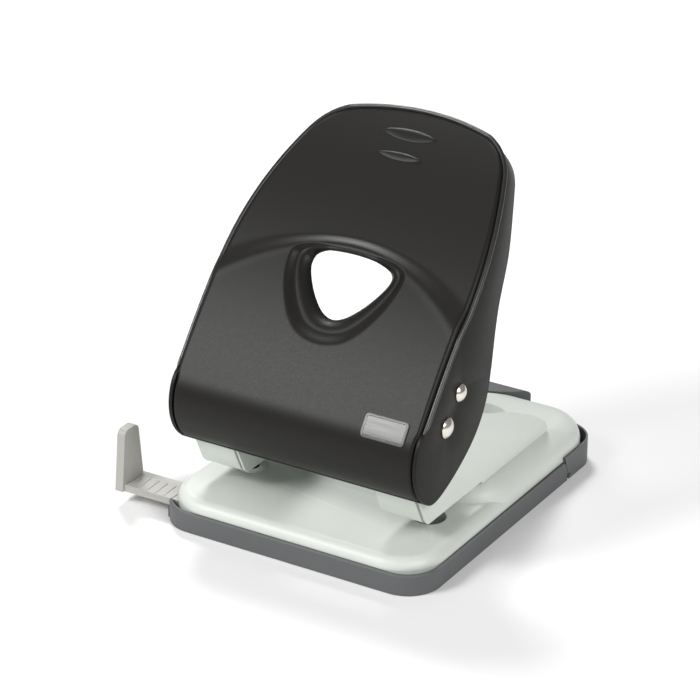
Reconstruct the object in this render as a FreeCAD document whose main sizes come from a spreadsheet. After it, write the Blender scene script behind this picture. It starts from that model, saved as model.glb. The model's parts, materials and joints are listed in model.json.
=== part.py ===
"""Two-hole desk punch: a steel base in a plastic chip tray, two punch heads, a broad hinged handle
and a sliding paper guide.

Frame: origin on the resting face below the middle of the base, +X to the right of the user,
+Y away from the user, +Z up.  Millimetres.
"""
import FreeCAD
import Part

import math
import os
import re

import Sketcher

# Driving dimensions.  Each one is a cell of the document's sheet.
DIMENSIONS = {
    # base plate and chip tray
    "tray_width": 118.2,
    "tray_depth": 141.3,
    "tray_corner": 14.0,
    "tray_rim": 8.5,
    "tray_floor": 1.8,
    "rim_wall": 1.2,
    "ledge_height": 5.5,
    "ledge_width": 3.1,
    "plate_gap": 0.1,
    "sheet_gauge": 1.2,
    "plate_corner": 18.0,
    "table_height": 13.0,
    "table_round": 4.5,
    "deck_height": 19.2,
    "deck_round": 8.5,
    "stop_place": -17.5,
    # chip flap
    "flap_split": 41.0,
    "flap_lean": 3.4,
    "flap_rim": 10.6,
    "flap_gap": 0.4,
    "flap_ledge": 4.5,
    "flap_pin_place": 44.9,
    "flap_pin_lift": 1.7,
    "flap_pin_radius": 0.8,
    "flap_pin_half": 53.0,
    "barrel_radius": 1.7,
    "barrel_half": 49.0,
    "lug_width": 3.0,
    "tab_radius": 38.0,
    "tab_inset": 11.65,
    "tab_height": 19.8,
    "tab_wall": 2.0,
    "tab_gap": 0.5,
    # punches
    "hole_spacing": 80.0,
    "hole_radius": 3.0,
    "punch_place": -32.0,
    "punch_rest": 21.0,
    "punch_head_radius": 4.5,
    "punch_head_height": 3.0,
    "running_gap": 0.05,
    "die_radius": 6.5,
    "die_height": 3.0,
    "spring_wire": 0.5,
    "spring_turns": 7.0,
    "spring_clear": 0.5,
    # punch heads
    "head_width": 19.4,
    "head_underside": 20.4,
    "front_gauge": 1.3,
    "guide_length": 26.0,
    "guide_height": 4.0,
    "upper_guide_lift": 38.0,
    "upper_guide_length": 17.0,
    "upper_guide_height": 3.0,
    "rivet_radius": 2.0,
    "rivet_head": 3.6,
    "rivet_head_height": 1.0,
    "rivet_front": -4.0,
    "rivet_pitch": 28.0,
    # axles
    "pivot_place": -44.5,
    "pivot_height": 59.5,
    "pivot_radius": 3.0,
    "pivot_cap": 4.0,
    "press_place": -35.0,
    "press_height": 69.9,
    "press_radius": 3.0,
    "press_cap": 3.5,
    "cap_height": 1.8,
    "ear_radius": 7.5,
    "side_gap": 0.3,
    # handle
    "handle_half": 54.2,
    "handle_gauge": 1.4,
    "cover_gauge": 1.2,
    "arc_place": 208.1,
    "arc_height": -135.2,
    "arc_radius": 335.1,
    "crease_place": -62.2,
    "crease_height": 63.4,
    "tip_place": 29.9,
    "tip_height": 148.7,
    "nose_front": -66.8,
    "nose_middle": 53.0,
    "nose_end_place": -59.6,
    "nose_end_height": 34.7,
    "lip_width": 1.5,
    "seam_gap": 0.3,
    "window_low": 30.0,
    "window_top": 60.0,
    "window_half": 21.0,
    "window_corner": 5.0,
    "web_clearance": 12.0,
    "badge_middle": 38.8,
    "badge_length": 18.5,
    "badge_width": 9.5,
    "badge_gauge": 0.4,
    "badge_drop": 1.2,
    # paper guide
    "bar_inset": 7.15,
    "bar_width": 13.5,
    "bar_lift": 5.0,
    "bar_gauge": 3.0,
    "bar_inner": 30.5,
    "bar_outer": -78.7,
    "fence_gauge": 3.6,
    "fence_inset": 6.15,
    "fence_foot": 14.5,
    "fence_top": 9.0,
    "fence_height": 30.2,
    "fence_round": 3.0,
    "slide_gap": 0.3,
    "rail_width": 1.4,
    "rail_lead": 7.6,
}

doc = FreeCAD.newDocument("HolePunch")
sheet = doc.addObject("Spreadsheet::Sheet", "Sizes")
for row, (word, number) in enumerate(DIMENSIONS.items(), start=1):
    sheet.set(f"A{row}", word)
    sheet.set(f"B{row}", str(number))
    sheet.setAlias(f"B{row}", word)
doc.recompute()

pieces = []


def size(word):
    """A driving dimension, read from the sheet."""
    return float(sheet.get(word))


def in_sheet(rule):
    """An expression with each dimension's word pointed at the sheet."""
    return re.sub(r"[a-z]+(?:_[a-z]+)+", lambda word: "Sizes." + word.group(), rule)


def bound(target, **cells):
    """Bind properties of a document object to expressions; a double underscore stands for a dot."""
    for name, rule in cells.items():
        target.setExpression(name.replace("__", "."), in_sheet(rule))


def keep(item, label):
    """Name a finished sub-part and put it on the list of pieces to write."""
    item.Label = label
    pieces.append(item)
    return item


def primitive(kind, name, **cells):
    """A Part primitive whose sizes and place are bound to the sheet."""
    item = doc.addObject(f"Part::{kind}", name)
    bound(item, **cells)
    return item


def box(name, low, high):
    """A box between two corners, each given as three expressions."""
    cells = {}
    for axis, side, start, end in zip("xyz", ("Length", "Width", "Height"), low, high):
        cells[f"Placement__Base__{axis}"] = start
        cells[side] = f"({end}) - ({start})"
    return primitive("Box", name, **cells)


def rod(name, radius, start, end, height_axis="X", **place):
    """A cylinder along X or Z from start to end; place gives the other two coordinates."""
    item = primitive("Cylinder", name, Radius=radius, Height=f"({end}) - ({start})")
    if height_axis == "X":
        turn = FreeCAD.Rotation(FreeCAD.Vector(0, 1, 0), 90)
        item.Placement = FreeCAD.Placement(FreeCAD.Vector(), turn)
    cells = {f"Placement__Base__{height_axis.lower()}": start}
    for axis, rule in place.items():
        cells[f"Placement__Base__{axis}"] = rule
    bound(item, **cells)
    return item


def cut(name, solid, *tools):
    """The solid less every tool."""
    tool = tools[0] if len(tools) == 1 else fuse(name + "_tools", *tools)
    item = doc.addObject("Part::Cut", name)
    item.Base = solid
    item.Tool = tool
    return item


def fuse(name, *solids):
    """The solids joined in one."""
    item = doc.addObject("Part::MultiFuse", name)
    item.Shapes = list(solids)
    item.Refine = True
    return item


def common(name, *solids):
    """What the solids share."""
    item = doc.addObject("Part::MultiCommon", name)
    item.Shapes = list(solids)
    return item


def group(name, *solids):
    """Separate solids that share one node."""
    item = doc.addObject("Part::Compound", name)
    item.Links = list(solids)
    return item


def sketch_on(body, role, name):
    """An empty sketch on one of the body's own origin planes."""
    sketch = body.newObject("Sketcher::SketchObject", name)
    plane = next(item for item in body.Origin.OriginFeatures if item.Role == role)
    sketch.AttachmentSupport = [(plane, "")]
    sketch.MapMode = "FlatFace"
    return sketch


def polygon(sketch, corners):
    """A closed outline; each corner is a pair of expressions."""
    count = len(corners)
    for index in range(count):
        angle = 2 * math.pi * index / count
        following = 2 * math.pi * (index + 1) / count
        start = FreeCAD.Vector(math.cos(angle), math.sin(angle), 0)
        end = FreeCAD.Vector(math.cos(following), math.sin(following), 0)
        sketch.addGeometry(Part.LineSegment(start, end))
    for index in range(count):
        sketch.addConstraint(Sketcher.Constraint("Coincident", index, 2, (index + 1) % count, 1))
    for index, pair in enumerate(corners):
        for kind, rule in zip(("DistanceX", "DistanceY"), pair):
            place = sketch.addConstraint(Sketcher.Constraint(kind, -1, 1, index, 1, 1.0))
            bound(sketch, **{f"Constraints[{place}]": rule})


def prism(label, role, corners, length, symmetric=False):
    """A PartDesign body: one outline padded to a length."""
    body = doc.addObject("PartDesign::Body", label)
    sketch = sketch_on(body, role, label + "_outline")
    polygon(sketch, corners)
    pad = body.newObject("PartDesign::Pad", label + "_pad")
    pad.Profile = sketch
    pad.SideType = "Symmetric" if symmetric else "One side"
    bound(pad, Length=length)
    return body


def round_edges(body, radius, chosen):
    """Fillet the tip's edges that the test picks."""
    doc.recompute()
    base = body.Tip
    names = []
    for index, edge in enumerate(base.Shape.Edges, start=1):
        if chosen(edge):
            names.append(f"Edge{index}")
    fillet = body.newObject("PartDesign::Fillet", f"{body.Label}_round{len(body.Group)}")
    fillet.Base = (base, names)
    bound(fillet, Radius=radius)
    return fillet


def upright(edge):
    """True for a straight edge along Z."""
    box_of_edge = edge.BoundBox
    return box_of_edge.XLength < 1e-6 and box_of_edge.YLength < 1e-6


def top_rim(edge, shape):
    """True for an edge that lies wholly in the shape's highest face."""
    top = shape.BoundBox.ZMax
    return edge.BoundBox.ZMin > top - 1e-6


def block(label, half_x, front, back, low, high, corner, top_round=None):
    """A rounded rectangle in plan, padded from low to high, with its upper rim rounded."""
    corners = [(f"-({half_x})", front), (half_x, front), (half_x, back), (f"-({half_x})", back)]
    body = prism(label, "XY_Plane", corners, f"({high}) - ({low})")
    bound(body, Placement__Base__z=low)
    round_edges(body, corner, upright)
    if top_round:
        doc.recompute()
        shape = body.Tip.Shape
        round_edges(body, top_round, lambda edge: top_rim(edge, shape))
    return body


# ---- base plate -------------------------------------------------------------------------------

PLATE_HALF = "tray_width / 2 - rim_wall - plate_gap"
PLATE_END = "tray_depth / 2 - rim_wall - plate_gap"
TRAY_HALF = "tray_width / 2"
TRAY_END = "tray_depth / 2"
TAB_FRONT = "tray_depth / 2 - tab_inset"
BAR_FRONT = "(bar_inset - tray_depth / 2)"
FENCE_FRONT = "(fence_inset - tray_depth / 2)"
FAR = "tray_depth"
ABOVE = "tip_height"


def plate_form(label, inset, low):
    """The base plate's outer form, or its inside when inset by the sheet's gauge."""
    half = f"{PLATE_HALF} - {inset}"
    end = f"{PLATE_END} - {inset}"
    corner = f"plate_corner - {inset}"
    table = block(label + "_table", half, f"-({end})", end, low, f"table_height - {inset}", corner,
                  f"table_round - {inset}")
    deck = block(label + "_deck", half, f"stop_place + {inset}", end, low,
                 f"deck_height - {inset}", corner, f"deck_round - {inset}")
    return fuse(label, table, deck)


def across(word, sign):
    """An expression mirrored to one side of the object."""
    return f"({word})" if sign > 0 else f"-({word})"


PUNCH_SIDE = "hole_spacing / 2"


def guide_opening(name, low_x, high_x):
    """The space that the paper guide's bar passes through the base's left side."""
    return box(name, (low_x, f"{BAR_FRONT} - slide_gap", "bar_lift - slide_gap"),
               (high_x, f"{BAR_FRONT} + bar_width + slide_gap", "tray_rim"))


def base_plate():
    """Pressed sheet base: a table in front, a raised deck behind the paper stop."""
    outer = plate_form("plate_outer", "0", "ledge_height")
    inner = plate_form("plate_inner", "sheet_gauge", "ledge_height - sheet_gauge")
    tab = rod("plate_tab_space", "tab_radius + tab_gap", "ledge_height - sheet_gauge", ABOVE, "Z",
              y=f"{TAB_FRONT} + tab_radius")
    bar = guide_opening("plate_bar_space", "-tray_width", "-tray_width / 2 + plate_corner")
    holes = [rod(f"plate_die_{n}", "die_radius", "0", ABOVE, "Z", x=across(PUNCH_SIDE, n),
                 y="punch_place") for n in (-1, 1)]
    holes += [rod(f"plate_rivet_{n}_{k}", "rivet_radius", "0", ABOVE, "Z", x=across(PUNCH_SIDE, n),
                  y=f"rivet_front + {k} * rivet_pitch") for n in (-1, 1) for k in (0, 1)]
    keep(cut("base_plate", outer, inner, tab, bar, *holes), "base_plate")


def die(label, sign):
    """Hardened ring that the punch shears into."""
    place = {"x": across(PUNCH_SIDE, sign), "y": "punch_place"}
    ring = rod(label + "_ring", "die_radius", "table_height - die_height", "table_height", "Z", **place)
    hole = rod(label + "_hole", "hole_radius + running_gap", "0", ABOVE, "Z", **place)
    keep(cut(label, ring, hole), label)


# ---- chip tray and its flap -------------------------------------------------------------------

def split_side(label, gap, foot):
    """The space behind the leaning joint between tray and flap, moved forward by a gap."""
    knee = f"flap_split + flap_lean - {gap}"
    head = f"flap_split - {gap}"
    corners = [(foot, "0"), (foot, "flap_pin_lift"), (knee, "flap_pin_lift"), (head, "flap_rim"),
               (head, ABOVE), (FAR, ABOVE), (FAR, "0")]
    return prism(label, "YZ_Plane", corners, "tray_width * 2", symmetric=True)


def tray_form(label, rim, floor, rim_gap, ledge):
    """A tray with a rebated rim: outside, less the rebate, less the chip space."""
    outer = block(label + "_out", TRAY_HALF, f"-({TRAY_END})", TRAY_END, "0", rim, "tray_corner")
    rebate_half = f"{TRAY_HALF} - rim_wall + {rim_gap}"
    rebate_end = f"{TRAY_END} - rim_wall + {rim_gap}"
    rebate = block(label + "_rebate", rebate_half, f"-({rebate_end})", rebate_end, ledge, ABOVE,
                   "tray_corner - rim_wall")
    inside_half = f"{TRAY_HALF} - ledge_width"
    inside_end = f"{TRAY_END} - ledge_width"
    inside = block(label + "_inside", inside_half, f"-({inside_end})", inside_end, floor, ABOVE,
                   "plate_corner - ledge_width + rim_wall")
    return cut(label + "_form", outer, rebate, inside)


def flap_pin_rod(name, radius, half):
    """A rod on the flap's hinge line."""
    return rod(name, radius, f"-({half})", half, "X", y="flap_pin_place", z="flap_pin_lift")


def chip_tray():
    """Plastic tray under the base plate that catches the chips and carries the paper guide."""
    form = tray_form("tray", "tray_rim", "tray_floor", "0", "ledge_height")
    behind = split_side("tray_behind", "flap_gap", "flap_pin_place - barrel_radius")
    swing = flap_pin_rod("tray_swing", "barrel_radius + flap_gap", "tray_width")
    opening = guide_opening("tray_bar_space", "-tray_width", "-tray_width / 2 + plate_corner")
    trimmed = cut("tray_trimmed", form, behind, swing, opening)
    rail_end = "bar_inner"
    rail_start = "-tray_width / 2 + ledge_width + rail_lead"
    floor_start = "-tray_width / 2 + rim_wall"
    front = f"{BAR_FRONT} - slide_gap"
    back = f"{BAR_FRONT} + bar_width + slide_gap"
    rails = [
        box("rail_front", (rail_start, f"{front} - rail_width", "0"), (rail_end, front, "tray_rim")),
        box("rail_back", (rail_start, back, "0"), (rail_end, f"{back} + rail_width", "tray_rim")),
        box("rail_under", (floor_start, front, "0"), (rail_end, back, "bar_lift - slide_gap")),
    ]
    lugs = [flap_lug(sign) for sign in (-1, 1)]
    joined = fuse("tray_joined", trimmed, *rails, *lugs)
    bore = flap_pin_rod("tray_pin_bore", "flap_pin_radius", "tray_width")
    keep(cut("chip_tray", joined, bore), "chip_tray")


def flap_lug(sign):
    """One of the tray's two lugs that hold the flap's pin."""
    near = "barrel_half + side_gap"
    far = "barrel_half + side_gap + lug_width"
    low, high = (near, far) if sign > 0 else (f"-({far})", f"-({near})")
    eye = rod(f"lug_eye_{sign}", "barrel_radius", low, high, "X", y="flap_pin_place", z="flap_pin_lift")
    arm = box(f"lug_arm_{sign}", (low, "flap_split - lug_width", "0"),
              (high, "flap_pin_place", "flap_pin_lift + barrel_radius"))
    return fuse(f"lug_{sign}", eye, arm)


def chip_flap():
    """Rear end of the tray: it swings down to let the chips out, and has the thumb tab."""
    rim_gap = "flap_gap - plate_gap"
    form = tray_form("flap", "flap_rim", "tray_floor", rim_gap, "flap_ledge")
    behind = split_side("flap_behind", "0", "flap_pin_place")
    shell = common("flap_shell", form, behind)
    barrel = flap_pin_rod("flap_barrel", "barrel_radius", "barrel_half")
    tab = thumb_tab()
    joined = fuse("flap_joined", shell, barrel, tab)
    bore = flap_pin_rod("flap_pin_bore", "flap_pin_radius + running_gap", "tray_width")
    hollow = rod("tab_hollow", "tab_radius - tab_wall", "-tab_height", "tab_height - tab_wall", "Z",
                 y=f"{TAB_FRONT} + tab_radius")
    hollow_end = block("tab_hollow_end", TRAY_HALF, TAB_FRONT, f"{TRAY_END} - tab_wall",
                       "-tab_height", "tab_height", "tab_wall")
    recess = common("tab_recess", hollow, hollow_end)
    lugs = [lug_space(sign) for sign in (-1, 1)]
    keep(cut("chip_flap", joined, bore, recess, *lugs), "chip_flap")


def thumb_tab():
    """The tab's arc, up to the height of the deck."""
    arc = rod("tab_arc", "tab_radius", "0", "tab_height", "Z", y=f"{TAB_FRONT} + tab_radius")
    end = block("tab_end", TRAY_HALF, "0", TRAY_END, "0", "tab_height", "tray_corner",
                "tab_wall")
    return common("thumb_tab", arc, end)


def lug_space(sign):
    """Room in the flap for one of the tray's lugs as the flap swings."""
    near = "barrel_half"
    far = "barrel_half + lug_width + side_gap * 2"
    low, high = (near, far) if sign > 0 else (f"-({far})", f"-({near})")
    return box(f"lug_space_{sign}", (low, "flap_split - lug_width", "-flap_rim"),
               (high, "flap_pin_place + barrel_radius + flap_gap", "flap_rim"))


def flap_hinge_pin():
    """Steel wire that the flap turns on, held in the tray's lugs."""
    keep(flap_pin_rod("flap_hinge_pin", "flap_pin_radius", "flap_pin_half"), "flap_hinge_pin")


# ---- paper guide ------------------------------------------------------------------------------

def paper_guide():
    """Sliding bar with an upright fence at its outer end."""
    bar = box("guide_bar", ("bar_outer", BAR_FRONT, "bar_lift"),
              ("bar_inner", f"{BAR_FRONT} + bar_width", "bar_lift + bar_gauge"))
    middle = f"({FENCE_FRONT} + fence_foot / 2)"
    corners = [(f"{middle} - fence_foot / 2", "bar_lift"), (f"{middle} + fence_foot / 2", "bar_lift"),
               (f"{middle} + fence_top / 2", "fence_height"), (f"{middle} - fence_top / 2", "fence_height")]
    fence = prism("fence", "YZ_Plane", corners, "fence_gauge")
    bound(fence, Placement__Base__x="bar_outer - fence_gauge")
    doc.recompute()
    top = size("fence_height")

    def top_corner(edge):
        bounds = edge.BoundBox
        return bounds.ZMin > top - 1e-6 and bounds.YLength < 1e-6

    round_edges(fence, "fence_round", top_corner)
    keep(fuse("paper_guide", bar, fence), "paper_guide")


# ---- punch heads ------------------------------------------------------------------------------

HEAD_SIDE = "head_width / 2"
# Leaning front of a head, as steps from the punch and from the head's underside.
FRONT_STEPS = [(17.4, 0.0), (19.2, 1.6), (24.0, 11.6), (24.0, 13.6), (20.5, 24.6), (20.0, 39.1)]
# Top edge of a head, from the pivot's ear down to the rear, as steps from the pivot and the deck.
TOP_STEPS = [(7.5, 40.3), (8.5, 37.6), (20.5, 34.6), (37.2, 29.1), (56.2, 21.7), (72.6, 13.8),
             (81.0, 8.7), (85.2, 5.6), (87.5, 2.0)]


def head_front(back):
    """The head's front edge, moved back by an expression."""
    return [(f"punch_place - {out} + {back}", f"head_underside + {up}") for out, up in FRONT_STEPS]


def head_top():
    """The head's top edge, from the ear to the rear."""
    return [(f"pivot_place + {along}", f"deck_height + {up}") for along, up in TOP_STEPS]


def tower(label, sign):
    """Folded sheet head: two side plates joined by a leaning front and a floor on the deck."""
    rear = head_top()[-1][0]
    foot = "stop_place + deck_round"
    outline = head_front("0") + head_top()
    outline += [(rear, "deck_height"), (foot, "deck_height"), (foot, "head_underside")]
    sides = prism(label + "_sides", "YZ_Plane", outline, "head_width", symmetric=True)
    bound(sides, Placement__Base__x=across(PUNCH_SIDE, sign))
    ear = rod(label + "_ear", "ear_radius", f"{across(PUNCH_SIDE, sign)} - {HEAD_SIDE}",
              f"{across(PUNCH_SIDE, sign)} + {HEAD_SIDE}", "X", y="pivot_place", z="pivot_height")
    front = head_front("front_gauge")
    inside = [(foot, "head_underside - ear_radius"), (front[0][0], "head_underside - ear_radius")]
    inside += front[1:] + [(front[-1][0], ABOVE), (FAR, ABOVE), (FAR, "deck_height + sheet_gauge"),
                           (foot, "deck_height + sheet_gauge")]
    hollow = prism(label + "_hollow", "YZ_Plane", inside, "head_width - 2 * sheet_gauge", symmetric=True)
    bound(hollow, Placement__Base__x=across(PUNCH_SIDE, sign))
    whole = fuse(label + "_whole", sides, ear)
    eye = rod(label + "_eye", "pivot_radius", "-tray_width", "tray_width", "X",
              y="pivot_place", z="pivot_height")
    rivets = [rod(f"{label}_rivet_{k}", "rivet_radius", "0", ABOVE, "Z", x=across(PUNCH_SIDE, sign),
                  y=f"rivet_front + {k} * rivet_pitch") for k in (0, 1)]
    keep(cut(label, whole, hollow, eye, *rivets), label)


def guide_plate(label, sign, low, length, height):
    """A plate across a head, bored for the punch."""
    middle = across(PUNCH_SIDE, sign)
    inner = "(head_width / 2 - sheet_gauge)"
    plate = box(label + "_plate", (f"{middle} - {inner}", f"punch_place - ({length}) / 2", low),
                (f"{middle} + {inner}", f"punch_place + ({length}) / 2", f"{low} + {height}"))
    bore = rod(label + "_bore", "hole_radius + running_gap", "0", ABOVE, "Z", x=middle, y="punch_place")
    keep(cut(label, plate, bore), label)


def punch(label, sign):
    """Punch pin: a ground shaft with a flat head under the press axle."""
    place = {"x": across(PUNCH_SIDE, sign), "y": "punch_place"}
    top = "press_height - press_radius - side_gap"
    shaft = rod(label + "_shaft", "hole_radius", "punch_rest", top, "Z", **place)
    head = rod(label + "_head", "punch_head_radius", f"{top} - punch_head_height", top, "Z", **place)
    keep(fuse(label, shaft, head), label)


def half_turn(reach, wire, lean, index, step):
    """Half a turn of a spring: half a ring, tilted so that it climbs one step."""
    half = Part.makeTorus(reach, wire, FreeCAD.Vector(), FreeCAD.Vector(0, 0, 1), -180, 180, 180)
    half.rotate(FreeCAD.Vector(), FreeCAD.Vector(0, 1, 0), lean)
    if index % 2:
        half.rotate(FreeCAD.Vector(), FreeCAD.Vector(0, 0, 1), 180)
    half.translate(FreeCAD.Vector(0, 0, step * (index + 0.5)))
    return half


def punch_spring(label, sign):
    """Return spring round the punch, from the upper guide to the punch's head."""
    low = size("upper_guide_lift") + size("upper_guide_height")
    top = size("press_height") - size("press_radius") - size("side_gap") - size("punch_head_height")
    wire = size("spring_wire")
    coil = size("hole_radius") + size("spring_clear") + wire
    halves = 2 * round(size("spring_turns"))
    step = (top - low - 2 * wire) / halves
    reach = math.hypot(coil, step / 2)
    lean = math.degrees(math.atan2(step / 2, coil))
    turns = [half_turn(reach, wire, lean, index, step) for index in range(halves)]
    item = doc.addObject("Part::Feature", label)
    item.Shape = turns[0].fuse(turns[1:])
    middle = sign * size("hole_spacing") / 2
    item.Placement = FreeCAD.Placement(FreeCAD.Vector(middle, size("punch_place"), low + wire),
                                       FreeCAD.Rotation())
    keep(item, label)


def tower_rivets():
    """Four rivets that hold the heads' floors to the deck."""
    rivets = []
    for sign in (-1, 1):
        for k in (0, 1):
            place = {"x": across(PUNCH_SIDE, sign), "y": f"rivet_front + {k} * rivet_pitch"}
            name = f"rivet_{sign}_{k}"
            low = "deck_height - sheet_gauge"
            high = "deck_height + sheet_gauge"
            shank = rod(name + "_shank", "rivet_radius", low, high, "Z", **place)
            under = rod(name + "_under", "rivet_head", f"{low} - rivet_head_height", low, "Z", **place)
            over = rod(name + "_over", "rivet_head", high, f"{high} + rivet_head_height", "Z", **place)
            rivets.append(fuse(name, shank, under, over))
    keep(group("tower_rivets", *rivets), "tower_rivets")


# ---- axles ------------------------------------------------------------------------------------

WALL_OUT = "handle_half + side_gap"


def headed_axle(label, radius, cap, place, height):
    """A rod across the handle with a domed head riveted at each end."""
    line = {"y": place, "z": height}
    shank = rod(label + "_shank", radius, f"-({WALL_OUT})", WALL_OUT, "X", **line)
    heads = [domed_head(f"{label}_dome_{sign}", sign, cap, line) for sign in (-1, 1)]
    keep(fuse(label, shank, *heads), label)


def domed_head(name, sign, cap, line):
    """The part of a ball that stands out of the handle's side, cut flat at the cap's radius."""
    ball = primitive("Sphere", name + "_ball", Radius=f"({cap} * {cap} + cap_height ^ 2) / (2 * cap_height)")
    middle = f"{WALL_OUT} + cap_height - ({cap} * {cap} + cap_height ^ 2) / (2 * cap_height)"
    bound(ball, Placement__Base__x=across(middle, sign), Placement__Base__y=line["y"],
          Placement__Base__z=line["z"])
    far = f"{WALL_OUT} + cap_height"
    low, high = (WALL_OUT, far) if sign > 0 else (f"-({far})", f"-({WALL_OUT})")
    disc = rod(name + "_disc", cap, low, high, "X", **line)
    return common(name, ball, disc)


def pivot_spacers():
    """Washers on the pivot between the heads and the handle's sides."""
    rings = []
    for sign in (-1, 1):
        near = f"{PUNCH_SIDE} + {HEAD_SIDE}"
        far = "handle_half - handle_gauge - side_gap"
        low, high = (near, far) if sign > 0 else (f"-({far})", f"-({near})")
        line = {"y": "pivot_place", "z": "pivot_height"}
        ring = rod(f"spacer_{sign}", "pivot_cap + rail_width", low, high, "X", **line)
        hole = rod(f"spacer_hole_{sign}", "pivot_radius", "-tray_width", "tray_width", "X", **line)
        rings.append(cut(f"spacer_ring_{sign}", ring, hole))
    keep(group("pivot_spacers", *rings), "pivot_spacers")


# ---- handle -----------------------------------------------------------------------------------

# Rear edge of the handle's side walls, from the nose round to the tip, as (y, z).
WALL_EDGE = [(-56.0, 32.5), (-45.2, 34.2), (-32.0, 40.8), (-24.7, 46.0), (-14.9, 59.3),
             (-10.6, 78.3), (-4.7, 95.5), (5.4, 108.2), (15.3, 120.9), (24.5, 129.6), (37.0, 140.9)]
# Half of the handle's outline, as (distance in from its widest, distance up the handle's chord).
FLANK = [(0.0, 40.0), (2.6, 77.0), (10.4, 106.0)]
CORNER = [(10.4, 106.0), (15.4, 114.8), (23.8, 120.8)]
OUTLINE_END = -30.0
DEEP = 200.0


def point(y, z):
    """A point in the middle plane."""
    return FreeCAD.Vector(0, y, z)


CREASE = point(size("crease_place"), size("crease_height"))
TIP = point(size("tip_place"), size("tip_height"))
ARC_MIDDLE = point(size("arc_place"), size("arc_height"))
ALONG = (TIP - CREASE).normalize()
OUTWARD = FreeCAD.Vector(1, 0, 0).cross(ALONG)


def arc_point(radius, toward):
    """The point of the handle's long arc, at a radius, in the direction of another point."""
    return ARC_MIDDLE + (toward - ARC_MIDDLE).normalize() * radius


def nose_circle():
    """Middle and radius of the nose's arc, from its two ends and its foremost point."""
    end = point(size("nose_end_place"), size("nose_end_height"))
    front = point(size("nose_front"), size("nose_middle"))
    circle = Part.Arc(CREASE, front, end).toShape().Curve
    return circle.Center, circle.Radius, end


def crossing(inset):
    """Where the long arc and the nose's arc meet, both moved inward."""
    middle, radius, _ = nose_circle()
    first = size("arc_radius") - inset
    second = radius - inset
    apart = (middle - ARC_MIDDLE).Length
    along = (first ** 2 - second ** 2 + apart ** 2) / (2 * apart)
    aside = math.sqrt(first ** 2 - along ** 2)
    line = (middle - ARC_MIDDLE).normalize()
    side = FreeCAD.Vector(1, 0, 0).cross(line)
    meet = ARC_MIDDLE + line * along
    candidates = (meet + side * aside, meet - side * aside)
    return max(candidates, key=lambda place: place.z)


def outer_edges(inset):
    """The nose's arc and the long arc, moved inward, as edges from the nose's end to the tip."""
    middle, radius, end = nose_circle()
    reach = radius - inset
    start = middle + (end - middle).normalize() * reach
    meet = crossing(inset)
    half = middle + (((start + meet) * 0.5) - middle).normalize() * reach
    tip = arc_point(size("arc_radius") - inset, TIP)
    bend = arc_point(size("arc_radius") - inset, (meet + tip) * 0.5)
    return start, tip, [Part.Arc(start, half, meet).toShape(), Part.Arc(meet, bend, tip).toShape()]


def side_form():
    """Side view of the handle, as a face in the middle plane."""
    start, tip, edges = outer_edges(0)
    curve = Part.BSplineCurve()
    curve.interpolate([start] + [point(y, z) for y, z in WALL_EDGE])
    end = Part.makeLine(point(*WALL_EDGE[-1]), tip)
    return Part.Face(Part.Wire(edges + [end, curve.toShape()]))


def skin_face(inset, gauge):
    """Side view of a skin: the strip between two depths under the handle's surface."""
    start, tip, edges = outer_edges(inset)
    inner_start, inner_tip, inner_edges = outer_edges(inset + gauge)
    ends = [Part.makeLine(start, inner_start), Part.makeLine(tip, inner_tip)]
    return Part.Face(Part.Wire(Part.__sortEdges__(edges + inner_edges + ends)))


def inside_face(inset):
    """Side view of everything behind the skins."""
    start, tip, edges = outer_edges(inset)
    below = start + point(0, -DEEP)
    behind = tip + point(DEEP, -DEEP)
    beyond = tip + point(DEEP, 0)
    lines = [Part.makeLine(tip, beyond), Part.makeLine(beyond, behind),
             Part.makeLine(behind, below), Part.makeLine(below, start)]
    return Part.Face(Part.Wire(edges + lines))


def across_handle(face):
    """A side view swept across the whole handle."""
    face.translate(FreeCAD.Vector(-DEEP / 2, 0, 0))
    return face.extrude(FreeCAD.Vector(DEEP, 0, 0))


def on_chord(x, up):
    """A point of the handle's plan, on the chord from the crease to the tip."""
    return CREASE + ALONG * up + FreeCAD.Vector(x, 0, 0)


def plan_prism(inset):
    """The handle's plan, moved inward, swept square to its chord."""
    half = size("handle_half")
    length = (TIP - CREASE).Length
    edges = []
    for sign in (-1, 1):
        flank = [on_chord(sign * (half - step), up) for step, up in FLANK]
        corner = [on_chord(sign * (half - step), up) for step, up in CORNER]
        edges.append(Part.makeLine(on_chord(sign * half, OUTLINE_END), flank[0]))
        edges += [Part.Arc(*flank).toShape(), Part.Arc(*corner).toShape()]
    step, up = CORNER[-1]
    top = Part.Arc(on_chord(step - half, up), on_chord(0, length), on_chord(half - step, up))
    foot = Part.makeLine(on_chord(-half, OUTLINE_END), on_chord(half, OUTLINE_END))
    wire = Part.Wire(Part.__sortEdges__(edges + [top.toShape(), foot]))
    if inset:
        wire = wire.makeOffset2D(-inset)
    face = Part.Face(wire)
    face.translate(OUTWARD * (-DEEP / 2))
    return face.extrude(OUTWARD * DEEP)


def window_prism(gap):
    """The rounded three-cornered window through the handle, widened by a gap."""
    low = size("window_low")
    top = size("window_top")
    half = size("window_half")
    corner = size("window_corner")
    corners = [on_chord(-half, top), on_chord(half, top), on_chord(0, low)]
    face = Part.Face(Part.makePolygon(corners + corners[:1]))
    inner = face.makeOffset2D(-corner)
    outline = inner.makeOffset2D(corner + gap)
    outline.translate(OUTWARD * (-DEEP / 2))
    return outline.extrude(OUTWARD * DEEP)


def shown(label, shape):
    """A sub-part whose shape is made with Part's own functions."""
    item = doc.addObject("Part::Feature", label)
    item.Shape = shape
    return keep(item, label)


def axle_hole(radius, place, height, gap=0.0):
    """A hole right across the handle, for an axle with a running gap or none."""
    start = FreeCAD.Vector(-DEEP / 2, size(place), size(height))
    return Part.makeCylinder(size(radius) + gap, DEEP, start, FreeCAD.Vector(1, 0, 0))


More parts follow.
